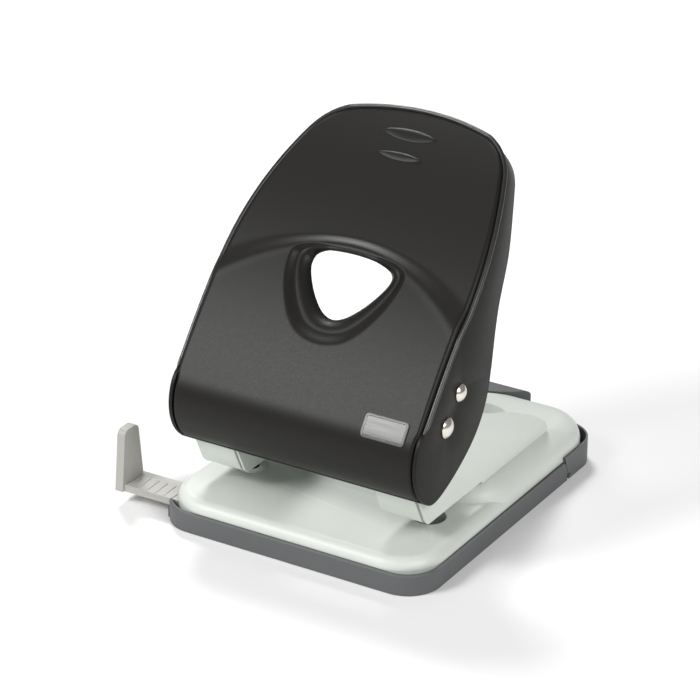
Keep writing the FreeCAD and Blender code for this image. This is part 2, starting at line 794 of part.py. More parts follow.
def handle_frame():
    """Handle's shell: side walls whose lip frames the cover, and the web under the cover."""
    seat = size("cover_gauge")
    body = across_handle(side_form()).common(plan_prism(0))
    inside = across_handle(inside_face(seat + size("handle_gauge")))
    body = body.cut(inside.common(plan_prism(size("handle_gauge"))))
    recess = across_handle(skin_face(0, seat)).common(plan_prism(size("lip_width")))
    body = body.cut(recess)
    body = body.cut(window_prism(size("web_clearance")))
    body = body.cut(axle_hole("pivot_radius", "pivot_place", "pivot_height", size("running_gap")))
    body = body.cut(axle_hole("press_radius", "press_place", "press_height"))
    shown("handle_frame", largest(body))


def largest(shape):
    """The largest solid of a shape, without the crumbs that a boolean leaves."""
    return max(shape.Solids, key=lambda solid: solid.Volume)


def handle_cover():
    """Pressed cover set in the handle's lip, from the nose to the tip."""
    inset = size("lip_width") + size("seam_gap")
    skin = across_handle(skin_face(0, size("cover_gauge"))).common(plan_prism(inset))
    shown("handle_cover", largest(skin.cut(window_prism(0))))


def badge_plate():
    """Blank plate on the nose, with rounded ends."""
    middle, radius, end = nose_circle()
    gauge = size("badge_gauge")
    width = size("badge_width")
    high = CREASE + (end - CREASE).normalize() * size("badge_drop")
    start_angle = math.atan2(high.z - middle.z, high.y - middle.y)
    outer = radius + gauge
    low_angle = start_angle + width / radius
    angles = (start_angle, (start_angle + low_angle) / 2, low_angle)
    rims = []
    for reach in (radius, outer):
        places = [middle + point(math.cos(angle), math.sin(angle)) * reach for angle in angles]
        rims.append(places)
    inner_rim, outer_rim = rims
    edges = [Part.Arc(*inner_rim).toShape(), Part.Arc(*outer_rim).toShape(),
             Part.makeLine(inner_rim[0], outer_rim[0]), Part.makeLine(inner_rim[2], outer_rim[2])]
    face = Part.Face(Part.Wire(Part.__sortEdges__(edges)))
    length = size("badge_length")
    face.translate(FreeCAD.Vector(size("badge_middle") - length / 2, 0, 0))
    shown("badge_plate", face.extrude(FreeCAD.Vector(length, 0, 0)))


# ---- the whole --------------------------------------------------------------------------------

def build():
    """Every sub-part of the punch."""
    base_plate()
    chip_tray()
    chip_flap()
    flap_hinge_pin()
    paper_guide()
    for side, sign in (("left", -1), ("right", 1)):
        tower(f"{side}_head", sign)
        die(f"{side}_die", sign)
        guide_plate(f"{side}_lower_guide", sign, "head_underside", "guide_length", "guide_height")
        guide_plate(f"{side}_upper_guide", sign, "upper_guide_lift", "upper_guide_length",
                    "upper_guide_height")
        punch(f"{side}_punch", sign)
        punch_spring(f"{side}_spring", sign)
    tower_rivets()
    pivot_spacers()
    headed_axle("pivot_axle", "pivot_radius", "pivot_cap", "pivot_place", "pivot_height")
    headed_axle("press_axle", "press_radius", "press_cap", "press_place", "press_height")
    handle_frame()
    handle_cover()
    badge_plate()
    doc.recompute()


def check():
    """Stop if any object failed, or any sub-part has no valid solid."""
    faults = [item.Label for item in doc.Objects if {"Invalid", "Error"} & set(item.State)]
    for item in pieces:
        shape = item.Shape
        if shape.isNull() or not shape.isValid() or not shape.Solids:
            faults.append(item.Label)
    if faults:
        raise RuntimeError("failed: " + ", ".join(faults))


def write():
    """One STEP file for each sub-part."""
    os.makedirs("parts", exist_ok=True)
    for item in pieces:
        item.Shape.exportStep(f"parts/{item.Label}.step")
        bounds = item.Shape.BoundBox
        print(f"{item.Label:20s} solids {len(item.Shape.Solids)} volume {item.Shape.Volume:9.1f} "
              f"z {bounds.ZMin:6.1f} {bounds.ZMax:6.1f}")


build()
check()
write()
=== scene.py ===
"""Hole punch: the looks of a two-hole desk punch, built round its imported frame."""

import json
import math

import bmesh
import bpy
from bpy.props import FloatProperty, FloatVectorProperty, IntProperty, PointerProperty
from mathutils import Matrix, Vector


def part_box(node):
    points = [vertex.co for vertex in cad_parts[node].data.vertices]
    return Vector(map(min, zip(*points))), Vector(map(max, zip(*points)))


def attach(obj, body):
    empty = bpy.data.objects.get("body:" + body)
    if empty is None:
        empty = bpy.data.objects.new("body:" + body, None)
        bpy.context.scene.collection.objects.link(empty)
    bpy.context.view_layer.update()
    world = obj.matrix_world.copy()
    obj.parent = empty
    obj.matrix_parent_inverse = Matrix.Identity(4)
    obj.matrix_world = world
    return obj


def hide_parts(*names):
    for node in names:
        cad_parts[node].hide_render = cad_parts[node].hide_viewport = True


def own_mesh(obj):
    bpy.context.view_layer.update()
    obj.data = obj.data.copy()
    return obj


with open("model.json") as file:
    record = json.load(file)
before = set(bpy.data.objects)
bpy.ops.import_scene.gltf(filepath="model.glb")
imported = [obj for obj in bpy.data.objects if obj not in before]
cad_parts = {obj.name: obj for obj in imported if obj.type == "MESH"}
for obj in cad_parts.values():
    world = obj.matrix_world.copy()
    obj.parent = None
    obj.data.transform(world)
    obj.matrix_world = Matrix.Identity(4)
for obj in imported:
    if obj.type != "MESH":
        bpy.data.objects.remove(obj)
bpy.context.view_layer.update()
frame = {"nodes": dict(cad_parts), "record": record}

bl_info = {
    "name": "Hole Punch",
    "version": (1, 0, 0),
    "blender": (4, 5, 0),
    "location": "View3D > Sidebar > Hole Punch",
    "description": "Builds the visible surfaces of a two-hole desk punch",
    "category": "Add Mesh",
}

MM = 0.001


# ---- sizes and colours that a user may change -------------------------------------------------

def length(name, description, default):
    """A length in metres, shown in the sidebar, from its default in millimetres."""
    return FloatProperty(name=name, description=description, default=default * MM, unit="LENGTH",
                         precision=5)


def colour(name, description, default):
    """A linear colour."""
    return FloatVectorProperty(name=name, description=description, default=default, size=3,
                               subtype="COLOR", min=0.0, max=1.0)


class PunchSizes(bpy.types.PropertyGroup):
    """Sizes of the pressed and moulded details."""
    step_rise: length("Arch step", "Height of the arched step across the handle", 1.5)
    recess_depth: length("Recess depth", "How far the window's rim lies under the handle", 5.2)
    lens_rise: length("Lens rise", "Height of the finger marks", 1.0)
    bead_radius: length("Lip bead", "Radius of the bead round the handle", 0.95)
    lip_drop: length("Lip drop", "How far the lip lies under the cover", 2.0)
    edge_round: length("Edge round", "Rounding of the folded and moulded edges", 0.5)
    tick_pitch: length("Guide marks", "Distance between the marks on the paper guide", 4.0)
    rings: IntProperty(name="Cover rings", description="Rings of faces from window to edge",
                       default=105, min=40)


class PunchColours(bpy.types.PropertyGroup):
    """Finishes of the punch."""
    lacquer: colour("Handle", "Satin black lacquer", (0.0080, 0.0074, 0.0064))
    paint: colour("Base", "Pale green-grey paint", (0.60, 0.635, 0.59))
    tray: colour("Tray", "Dark grey moulding", (0.100, 0.103, 0.105))
    guide: colour("Paper guide", "Warm grey moulding", (0.37, 0.36, 0.335))
    badge: colour("Badge", "Satin metal", (0.17, 0.17, 0.165))


def settings():
    """The sizes that a user may change."""
    return bpy.context.scene.punch_sizes


def colours():
    """The colours that a user may change."""
    return bpy.context.scene.punch_colours


# ---- fixed sizes and places, in millimetres ---------------------------------------------------

# The handle's surface is one wide arc from its crease up to its tip, and a tight one down its nose.
# A place on it is a distance across and a distance up from the crease.
ARC_MIDDLE = Vector((0, 208.1, -135.2))
ARC_RADIUS = 335.1
CREASE = Vector((0, -62.2, 63.4))
TIP = Vector((0, 29.9, 148.7))
CHORD = TIP - CREASE
OUTWARD = Vector((1, 0, 0)).cross(CHORD.normalized())
CURVE_PER_CHORD = 1.0055
NOSE_RADIUS = 19.5
NOSE_START = -1.5
NOSE_END = -31.0

# The outline's side and corner are arcs, given by how far in from the widest part and how far up.
HALF_WIDTH = 54.8
FLANK = [(0.0, 40.0), (2.6, 77.0), (10.4, 106.0)]
CORNER = [FLANK[-1], (15.4, 114.8), (23.8, 120.8)]
SIDE_STEPS = 40
FLANK_STEPS = 44
CORNER_STEPS = 18
TIP_STEPS = 60
FOOT_STEPS = 78

# The cover: its joint with the lip, its edge's roll, its sheet and its rings of faces.
SEAM = 1.75
NOSE_JOINT = 0.9
ROLL = 2.0
COVER_SHEET = 1.2
RING_SPANS = [(0.0, 0.0), (0.50, 0.36), (0.84, 0.94), (1.0, 1.0)]

# The arched step's upper and lower edge: height in the middle, and fall per square of the distance
# across.
STEP_TOP, STEP_TOP_FALL = 67.4, 0.0058
STEP_FOOT, STEP_FOOT_FALL = 62.6, 0.0084
CREST_WIDTH = 2.0
CREST_SHARE = 0.06

# The recess: the share of its depth at the ridge between its outer slope and its inner one.
WINDOW_MIDDLE = (0.0, 50.0)
CURVE_STEPS = 10
RIDGE_SHARE = 0.36
OUTER_SLOPE_END = 0.9
INNER_SLOPE_POWER = 2.2
SHALLOW_BEHIND = 0.8

# Finger marks: name, middle, half length and half width.
FINGER_MARKS = (("upper_mark", (-0.6, 113.9), 12.2, 2.8), ("lower_mark", (-0.2, 103.8), 10.2, 1.9))
FINGER_MARK_COLUMNS, FINGER_MARK_ROWS = 60, 20
FINGER_MARK_SINK = 0.2
FINGER_MARK_SHEET = 0.4

# The lip: where it begins, and how far down the side walls its drop reaches.
LIP_START = -3.0
LIP_FOOT, LIP_TOP = -9.0, -1.5
LIP_STEP_SHARE = 0.6
BEAD_AROUND = 16
BEAD_START = -0.5

# The badge: its size, its middle on the handle, its corners, and its rim as insets and heights.
BADGE_SIZE = (18.5, 9.0, 0.9)
BADGE_MIDDLE = (38.8, -1.0)
BADGE_SINK = 0.05
BADGE_CORNER = 1.5
BADGE_RIM = ((0.25, 0.12), (0.55, 0.0), (0.25, -0.22))
BADGE_STRIP = 0.9

# The punch heads: the punches' places, the deck that the heads stand on, and the joint at each
# head's front, whose profile is how far out from the punches and how far above the deck.
HEADS = (("left", -40.0), ("right", 40.0))
PUNCH_LINE = -32.0
DECK_TOP = 20.4
HEAD_HALF_WIDTH = 9.7
HEAD_FRONT = [(17.4, -1.5), (17.4, 0.0), (19.2, 1.6), (24.0, 11.6), (24.0, 13.6)]
GROOVE_INSET = 1.5
GROOVE_WIDTH = 1.1
GROOVE_FRONT, GROOVE_REAR = -0.8, 2.2

# The tray's outer outline, its upper edge, and the rounding of its upper and lower edge.
TRAY_HALF = (59.1, 70.65)
TRAY_CORNER = 14.0
TRAY_TOP, TRAY_TOP_ROUND = 8.5, 1.0
TRAY_FOOT, TRAY_FOOT_ROUND = 0.0, 1.5

# The marks across the paper guide: every fifth one is longer.
GUIDE_MARKS = 22
GUIDE_MARK_START = 5.5
GUIDE_MARK_FRONT = -62.7
GUIDE_MARK_LONG, GUIDE_MARK_SHORT = 10.5, 8.5
GUIDE_MARK_WIDTH, GUIDE_MARK_HEIGHT = 0.9, 0.5
GUIDE_BAR = 3.0


# ---- the handle's shape -----------------------------------------------------------------------

def smooth(low, high, value):
    """Rises softly from 0 at low to 1 at high."""
    share = min(max((value - low) / (high - low), 0.0), 1.0)
    return share * share * (3 - 2 * share)


def arc_angle(along):
    """Direction of the wide arc's outward normal, at a distance up the handle."""
    start = CREASE - ARC_MIDDLE
    first = math.atan2(start.z, start.y)
    return first - along / ARC_RADIUS


def skin_point(x, along, rise=0.0):
    """A point in space: across, up the handle's curve from its crease, and above the surface."""
    if along >= NOSE_START:
        angle = arc_angle(along)
        middle, radius = ARC_MIDDLE, ARC_RADIUS
    else:
        join = arc_angle(NOSE_START)
        angle = join + (NOSE_START - along) / NOSE_RADIUS
        offset = ARC_RADIUS - NOSE_RADIUS
        middle = ARC_MIDDLE + Vector((0, math.cos(join), math.sin(join))) * offset
        radius = NOSE_RADIUS
    out = Vector((0, math.cos(angle), math.sin(angle)))
    place = middle + out * (radius + rise)
    place.x = x
    return place


def on_skin(place):
    """A point in space as distance across, up the handle's wide arc, and above its surface."""
    away = Vector((0, place.y, place.z)) - ARC_MIDDLE
    turn = arc_angle(0.0) - math.atan2(away.z, away.y)
    return place.x, turn * ARC_RADIUS, away.length - ARC_RADIUS


def along_of(up):
    """Distance up the curve for a distance up the chord."""
    return up * CURVE_PER_CHORD if up > 0 else up


def arc_through(first, second, third, count):
    """Points along the circle through three flat points, the last one left out."""
    ax, ay = first
    bx, by = second
    cx, cy = third
    d = 2 * (ax * (by - cy) + bx * (cy - ay) + cx * (ay - by))
    ux = ((ax * ax + ay * ay) * (by - cy) + (bx * bx + by * by) * (cy - ay)
          + (cx * cx + cy * cy) * (ay - by)) / d
    uy = ((ax * ax + ay * ay) * (cx - bx) + (bx * bx + by * by) * (ax - cx)
          + (cx * cx + cy * cy) * (bx - ax)) / d
    radius = math.hypot(ax - ux, ay - uy)
    start = math.atan2(ay - uy, ax - ux)
    turn = (math.atan2(cy - uy, cx - ux) - start + math.pi) % (2 * math.pi) - math.pi
    steps = [start + turn * index / count for index in range(count)]
    return [(ux + radius * math.cos(angle), uy + radius * math.sin(angle)) for angle in steps]


def half_outline(inset):
    """Right half of the handle's outline, from the nose's end to the middle of the tip."""
    half = HALF_WIDTH - inset
    side_length = FLANK[0][1] - NOSE_END
    side = [(half, NOSE_END + side_length * index / SIDE_STEPS) for index in range(SIDE_STEPS)]
    flank = [(half - step, up) for step, up in FLANK]
    start, bend, end = [(half - step, up) for step, up in CORNER]
    bend = (bend[0], bend[1] - inset * 0.5)
    end = (end[0] + inset * 0.4, end[1] - inset * 0.4)
    top = (0.0, CHORD.length - inset * 0.3)
    tip = arc_through(end, top, (-end[0], end[1]), TIP_STEPS)[:TIP_STEPS // 2]
    return (side + arc_through(*flank, FLANK_STEPS) + arc_through(start, bend, end, CORNER_STEPS)
            + tip + [top])


def whole_outline(inset):
    """The outline from the nose's end on the right, over the tip, to the nose's end on the left."""
    right = half_outline(inset)
    return right + [(-x, up) for x, up in reversed(right[:-1])]


def between(t, a, b, c, d):
    """A value at share t from b to c, with a and d before and after them (Catmull-Rom)."""
    return 0.5 * (2 * b + (c - a) * t + (2 * a - 5 * b + 4 * c - d) * t * t
                  + (3 * b - a - 3 * c + d) * t * t * t)


def closed_curve(right):
    """A smooth closed curve through the points of its right half, mirrored to the left."""
    loop = right + [(-x, up) for x, up in reversed(right[1:-1])]
    curve = []
    for index in range(len(loop)):
        around = [loop[(index + k) % len(loop)] for k in (-1, 0, 1, 2)]
        for step in range(CURVE_STEPS):
            share = step / CURVE_STEPS
            curve.append(tuple(between(share, *values) for values in zip(*around)))
    return curve


WINDOW = closed_curve([(0, 34.6), (4.8, 36.3), (9.6, 40.8), (13.8, 46.6), (16.8, 52.6), (16.9, 56.6),
                       (14.2, 58.6), (7.5, 59.7), (0, 60.1)])
RIDGE = closed_curve([(0, 28.6), (7.6, 30.4), (13.0, 35.6), (17.6, 42.6), (20.8, 50.0), (21.4, 56.2),
                      (17.4, 59.4), (9.0, 60.5), (0, 60.9)])
RECESS = closed_curve([(0, 21.9), (9.0, 23.8), (15.2, 28.4), (19.9, 35.0), (23.6, 42.8), (25.6, 51.0),
                       (24.9, 57.4), (18.6, 60.6), (9.6, 61.6), (0, 62.0)])


def reach(curve, angle):
    """Distance from the window's middle to a closed curve, in one direction."""
    dx, dy = math.cos(angle), math.sin(angle)
    middle_x, middle_y = WINDOW_MIDDLE
    best = 0.0
    for (ax, ay), (bx, by) in zip(curve, curve[1:] + curve[:1]):
        ax, ay, bx, by = ax - middle_x, ay - middle_y, bx - middle_x, by - middle_y
        side_a = dx * ay - dy * ax
        side_b = dx * by - dy * bx
        if side_a * side_b <= 0 and side_a != side_b:
            share = side_a / (side_a - side_b)
            distance = (ax + (bx - ax) * share) * dx + (ay + (by - ay) * share) * dy
            best = max(best, distance)
    return best


def step_level(x, along, rise):
    """Level of the arched step: raised below the arch, lowered above it, with a low crest."""
    upper = STEP_TOP - STEP_TOP_FALL * x * x
    lower = STEP_FOOT - STEP_FOOT_FALL * x * x
    crest = math.exp(-((along - lower) / CREST_WIDTH) ** 2)
    return rise * (0.5 - smooth(lower, upper, along)) + CREST_SHARE * rise * crest


def recess_level(distance, window, ridge, recess, depth):
    """Level of the recess round the window, from its outer edge in to the window's rim."""
    if distance >= recess:
        return 0.0
    if distance >= ridge:
        share = (distance - ridge) / max(recess - ridge, 0.01)
        return -depth * RIDGE_SHARE * (1 - smooth(0.0, OUTER_SLOPE_END, share))
    share = (ridge - distance) / max(ridge - window, 0.01)
    return -depth * (RIDGE_SHARE + (1 - RIDGE_SHARE) * share ** INNER_SLOPE_POWER)


def cover_level(x, along, distance, reaches, sizes):
    """Level of the cover above the handle's plain surface, its recess shallow over the window."""
    level = step_level(x, along, sizes.step_rise / MM)
    rearward = (along - WINDOW_MIDDLE[1]) / max(distance, 0.1)
    depth = sizes.recess_depth / MM * (1 - SHALLOW_BEHIND * smooth(0.30, 0.75, rearward))
    return level + recess_level(distance, *reaches, depth)


def edge_roll(inward, along):
    """How far the cover is rolled down at a distance in from its edge: less towards the tip."""
    share = min(inward / ROLL, 1.0)
    drop = ROLL * (1 - 0.8 * smooth(100.0, 119.0, along))
    return drop * (1 - math.sqrt(1 - (1 - share) ** 2))


def nose_share(up):
    """How much of its width the cover keeps: a wider joint beside the nose."""
    return 1 - NOSE_JOINT / HALF_WIDTH * (1 - smooth(-3.5, 0.0, up))


def ring_share(part):
    """Where a ring lies between the window and the edge: dense at both."""
    for (a, low), (b, high) in zip(RING_SPANS, RING_SPANS[1:]):
        if part <= b:
            return low + (high - low) * (part - a) / (b - a)
    return 1.0


def cover_outline():
    """The cover's closed outer edge, from the nose's right end over the tip and back to it."""
    outline = whole_outline(SEAM)
    left, foot = outline[-1]
    outline += [(left * (1 - 2 * k / FOOT_STEPS), foot) for k in range(1, FOOT_STEPS)]
    outline = [(x * nose_share(up), along_of(up)) for x, up in outline]
    return outline + outline[:1]


def lip_level(x, along, sizes):
    """Level of the lip beside the cover: under it along the sides, up to it at crease and tip."""
    drop = sizes.lip_drop / MM * smooth(-3.0, 6.0, along) * (1 - 0.75 * smooth(106.0, 123.0, along))
    return step_level(x, along, sizes.step_rise / MM) * LIP_STEP_SHARE - drop


# ---- small tools for modelling ----------------------------------------------------------------

def clear_selection():
    """Nothing selected, nothing in edit mode."""
    if bpy.context.object and bpy.context.object.mode != "OBJECT":
        bpy.ops.object.mode_set(mode="OBJECT")
    bpy.ops.object.select_all(action="DESELECT")


def pick(piece):
    """Select one piece alone and make it the active one."""
    clear_selection()
    piece.select_set(True)
    bpy.context.view_layer.objects.active = piece


def edit_all(piece):
    """Open a piece in edit mode with everything selected."""
    pick(piece)
    bpy.ops.object.mode_set(mode="EDIT")
    bpy.ops.mesh.select_all(action="SELECT")


def select_parts(piece, kind, chosen):
    """In edit mode, select the edges or the faces that a test picks."""
    bpy.ops.mesh.select_mode(type=kind)
    bpy.ops.mesh.select_all(action="DESELECT")
    mesh = bmesh.from_edit_mesh(piece.data)
    for part in mesh.edges if kind == "EDGE" else mesh.faces:
        part.select_set(bool(chosen(part)))
    bmesh.update_edit_mesh(piece.data)


def taken(name):
    """The object just added, under its own name."""
    piece = bpy.context.object
    piece.name = name
    piece.data.name = name
    return piece


def sheet_grid(name, columns, rows):
    """A flat grid, with its points given back row by row for shaping."""
    clear_selection()
    bpy.ops.mesh.primitive_grid_add(x_subdivisions=columns, y_subdivisions=rows, size=1.0)
    piece = taken(name)
    wide = columns + 1
    points = piece.data.vertices
    return piece, [points[start:start + wide] for start in range(0, wide * (rows + 1), wide)]


def merged_copy(node, name):
    """A copy of a frame node with its doubles merged."""
    piece = bpy.data.objects.new(name, frame["nodes"][node].data.copy())
    bpy.context.scene.collection.objects.link(piece)
    cleaned(piece, 2e-6)
    return piece


def baked(piece):
    """Put a piece's place, turn and scale into its mesh."""
    pick(piece)
    bpy.ops.object.transform_apply(location=True, rotation=True, scale=True)


def modified(piece, kind, **values):
    """Add a modifier, set it and apply it."""
    pick(piece)
    modifier = piece.modifiers.new(kind.title(), kind)
    for name, value in values.items():
        setattr(modifier, name, value)
    bpy.ops.object.modifier_apply(modifier=modifier.name)


def cleaned(piece, distance=1e-6):
    """Merge points closer than a distance in metres, and point every face outwards."""
    edit_all(piece)
    bpy.ops.mesh.remove_doubles(threshold=distance)
    bpy.ops.mesh.normals_make_consistent(inside=False)
    bpy.ops.object.mode_set(mode="OBJECT")


def close_ends(piece):
    """Fill every open ring of a piece and point its faces outwards."""
    edit_all(piece)
    bpy.ops.mesh.fill_holes(sides=0)
    bpy.ops.mesh.normals_make_consistent(inside=False)
    bpy.ops.object.mode_set(mode="OBJECT")


def point_outward(piece):
    """Turn an open skin's faces to the handle's outside."""
    total = sum((face.normal * face.area for face in piece.data.polygons), Vector())
    if total.dot(OUTWARD) < 0:
        piece.data.flip_normals()


def shaded(piece, angle=35.0):
    """Smooth shading, with edges sharper than an angle in degrees kept."""
    pick(piece)
    bpy.ops.object.shade_smooth_by_angle(angle=math.radians(angle))


def finish_piece(piece, body, material, nodes=()):
    """Give a piece its material, its body and the frame's node that it stands for."""
    piece.data.materials.clear()
    piece.data.materials.append(material)
    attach(piece, body)
    if nodes:
        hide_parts(*nodes)


# ---- finishes ---------------------------------------------------------------------------------

# Blender gives a Mix node sockets for every kind of value: these are the ones for colours.
MIX_SHARE, MIX_FIRST, MIX_SECOND, MIX_RESULT = 0, 6, 7, 2
TONE_SCALE = 30.0
GRAIN_HEIGHT = 0.12 * MM
LINE_HEIGHT = 0.04 * MM


def new_group(name, inputs, outputs):
    """An empty node group: its inputs have a name, a kind and a default, its outputs a name."""
    group = bpy.data.node_groups.new(name, "ShaderNodeTree")
    for title, kind, default in inputs:
        socket = group.interface.new_socket(title, in_out="INPUT", socket_type=kind)
        socket.default_value = default
    for title in outputs:
        group.interface.new_socket(title, in_out="OUTPUT", socket_type="NodeSocketFloat")
    return group


def grain_group():
    """Fine grain and slow tone over a surface, shared by every coated finish."""
    group = new_group("fine_grain", [("Grain Scale", "NodeSocketFloat", 900.0),
                                     ("Tone Scale", "NodeSocketFloat", TONE_SCALE)],
                      ["Grain", "Tone"])
    nodes, links = group.nodes, group.links
    start = nodes.new("NodeGroupInput")
    place = nodes.new("ShaderNodeTexCoord")
    end = nodes.new("NodeGroupOutput")
    for scale, out, detail in (("Grain Scale", "Grain", 3.0), ("Tone Scale", "Tone", 4.0)):
        noise = nodes.new("ShaderNodeTexNoise")
        noise.inputs["Detail"].default_value = detail
        links.new(place.outputs["Object"], noise.inputs["Vector"])
        links.new(start.outputs[scale], noise.inputs["Scale"])
        links.new(noise.outputs["Fac"], end.inputs[out])


def brushed_group():
    """Long fine scratches along one direction, for metal."""
    group = new_group("brushed_lines", [("Stretch", "NodeSocketVector", (40.0, 2500.0, 2500.0))],
                      ["Lines"])
    nodes, links = group.nodes, group.links
    start = nodes.new("NodeGroupInput")
    place = nodes.new("ShaderNodeTexCoord")
    mapping = nodes.new("ShaderNodeMapping")
    noise = nodes.new("ShaderNodeTexNoise")
    end = nodes.new("NodeGroupOutput")
    noise.inputs["Scale"].default_value = 1.0
    noise.inputs["Detail"].default_value = 5.0
    links.new(place.outputs["Object"], mapping.inputs["Vector"])
    links.new(start.outputs["Stretch"], mapping.inputs["Scale"])
    links.new(mapping.outputs["Vector"], noise.inputs["Vector"])
    links.new(noise.outputs["Fac"], end.inputs["Lines"])


def edge_highlight_group():
    """Where a painted highlight lightens convex edges, from the surface's own curvature."""
    group = new_group("edge_highlights", [], ["Edges"])
    nodes, links = group.nodes, group.links
    shape = nodes.new("ShaderNodeNewGeometry")
    span = nodes.new("ShaderNodeMapRange")
    end = nodes.new("NodeGroupOutput")
    span.inputs["From Min"].default_value = 0.53
    span.inputs["From Max"].default_value = 0.62
    links.new(shape.outputs["Pointiness"], span.inputs["Value"])
    links.new(span.outputs["Result"], end.inputs["Edges"])


def blank_material(name):
    """A material with one Principled shader, and that shader."""
    material = bpy.data.materials.new(name)
    material.use_nodes = True
    return material, material.node_tree.nodes["Principled BSDF"]


def shared(nodes, name):
    """A node that holds one of the shared groups."""
    node = nodes.new("ShaderNodeGroup")
    node.node_tree = bpy.data.node_groups[name]
    return node


def colour_mix(nodes):
    """A node that mixes two colours."""
    node = nodes.new("ShaderNodeMix")
    node.data_type = "RGBA"
    return node


def shade_of(base, factor):
    """A colour made lighter or darker."""
    return tuple(min(channel * factor, 1.0) for channel in base) + (1.0,)


def textured(material, shader, pattern, roughest, smoothest, strength, height):
    """Let a pattern vary a shader's gloss and lift its surface."""
    nodes, links = material.node_tree.nodes, material.node_tree.links
    gloss = nodes.new("ShaderNodeMapRange")
    gloss.inputs["To Min"].default_value = smoothest
    gloss.inputs["To Max"].default_value = roughest
    links.new(pattern, gloss.inputs["Value"])
    links.new(gloss.outputs["Result"], shader.inputs["Roughness"])
    relief = nodes.new("ShaderNodeBump")
    relief.inputs["Strength"].default_value = strength
    relief.inputs["Distance"].default_value = height
    links.new(pattern, relief.inputs["Height"])
    links.new(relief.outputs["Normal"], shader.inputs["Normal"])


def coated(name, base, roughness, grain, bump, spread, highlight_lift, coat=0.0, shine=0.5):
    """Paint or moulded plastic: slow tone, fine grain in the gloss and the surface, a painted
    highlight on convex edges.
    """
    material, shader = blank_material(name)
    nodes, links = material.node_tree.nodes, material.node_tree.links
    noise = shared(nodes, "fine_grain")
    noise.inputs["Grain Scale"].default_value = grain
    noise.inputs["Tone Scale"].default_value = TONE_SCALE
    mix = colour_mix(nodes)
    mix.inputs[MIX_FIRST].default_value = shade_of(base, 1 - spread)
    mix.inputs[MIX_SECOND].default_value = shade_of(base, 1 + spread)
    links.new(noise.outputs["Tone"], mix.inputs[MIX_SHARE])
    # Painted highlight: convex edges are made lighter, picked out by the shared curvature group.
    edge_highlight = colour_mix(nodes)
    edge_highlight.inputs[MIX_SECOND].default_value = shade_of(base, 1 + highlight_lift)
    links.new(shared(nodes, "edge_highlights").outputs["Edges"], edge_highlight.inputs[MIX_SHARE])
    links.new(mix.outputs[MIX_RESULT], edge_highlight.inputs[MIX_FIRST])
    links.new(edge_highlight.outputs[MIX_RESULT], shader.inputs["Base Color"])
    textured(material, shader, noise.outputs["Grain"], roughness + 0.06, roughness - 0.05, bump,
             GRAIN_HEIGHT)
    shader.inputs["Specular IOR Level"].default_value = shine
    shader.inputs["Coat Weight"].default_value = coat
    shader.inputs["Coat Roughness"].default_value = 0.25
    return material


def metal(name, base, roughness, stretch, bump=0.25):
    """Bare metal with fine lines from grinding or drawing."""
    material, shader = blank_material(name)
    nodes, links = material.node_tree.nodes, material.node_tree.links
    shader.inputs["Metallic"].default_value = 1.0
    lines = shared(nodes, "brushed_lines")
    lines.inputs["Stretch"].default_value = stretch
    mix = colour_mix(nodes)
    mix.inputs[MIX_FIRST].default_value = shade_of(base, 0.93)
    mix.inputs[MIX_SECOND].default_value = shade_of(base, 1.07)
    links.new(lines.outputs["Lines"], mix.inputs[MIX_SHARE])
    links.new(mix.outputs[MIX_RESULT], shader.inputs["Base Color"])
    textured(material, shader, lines.outputs["Lines"], roughness + 0.08, roughness - 0.08, bump,
             LINE_HEIGHT)
    return material


def make_finishes():
    """Every finish of the punch, by name: the slots of the frame's record, and the lip's bead."""
    grain_group()
    brushed_group()
    edge_highlight_group()
    tint = colours()
    # Each coated finish's edge lift sets how much lighter its painted highlight makes convex edges.
    return {
        "base_paint": coated("base_paint", tint.paint, 0.46, grain=700.0, bump=0.12, spread=0.015,
                             highlight_lift=0.06, coat=0.06),
        "tray_plastic": coated("tray_plastic", tint.tray, 0.55, grain=1800.0, bump=0.45,
                               spread=0.05, highlight_lift=0.35),
        "guide_plastic": coated("guide_plastic", tint.guide, 0.45, grain=1500.0, bump=0.25,
                                spread=0.03, highlight_lift=0.10),
        "handle_paint": coated("handle_paint", tint.lacquer, 0.42, grain=1300.0, bump=0.08,
                               spread=0.06, highlight_lift=0.5, shine=0.22),
        "handle_shell": coated("handle_shell", shade_of(tint.lacquer, 1.15)[:3], 0.44, grain=1300.0,
                               bump=0.2, spread=0.06, highlight_lift=0.5, shine=0.17),
        "lip_bead": coated("lip_bead", tint.lacquer, 0.34, grain=1300.0, bump=0.1, spread=0.06,
                           highlight_lift=0.5, coat=0.2, shine=0.6),
        "nickel": metal("nickel", (0.78, 0.74, 0.67), 0.20, (300.0, 300.0, 300.0), 0.05),
        "bright_steel": metal("bright_steel", (0.62, 0.62, 0.61), 0.32, (60.0, 1800.0, 1800.0)),
        "tool_steel": metal("tool_steel", (0.42, 0.42, 0.44), 0.25, (1800.0, 1800.0, 60.0)),
        "badge_metal": metal("badge_metal", tint.badge, 0.52, (60.0, 2500.0, 2500.0), 0.3),
    }


FINISHES = {}


def finish(name):
    """A finish by its name; all are made the first time that one is asked for."""
    if not FINISHES:
        FINISHES.update(make_finishes())
    return FINISHES[name]


def slot_of(node):
    """The material slot that the frame's record gives a node."""
    return next(row["material_slot"] for row in frame["record"]["subparts"] if row["node"] == node)


class PUNCH_OT_frame_finishes(bpy.types.Operator):
    """Finishes on the frame's own nodes that stay in view"""
    bl_idname = "punch.frame_finishes"
    bl_label = "Finishes"
    bl_options = {"REGISTER", "UNDO"}

    def execute(self, context):
        for row in frame["record"]["subparts"]:
            node = frame["nodes"][row["node"]]
            node.data.materials.clear()
            node.data.materials.append(finish(row["material_slot"]))
        return {"FINISHED"}


# ---- the handle -------------------------------------------------------------------------------

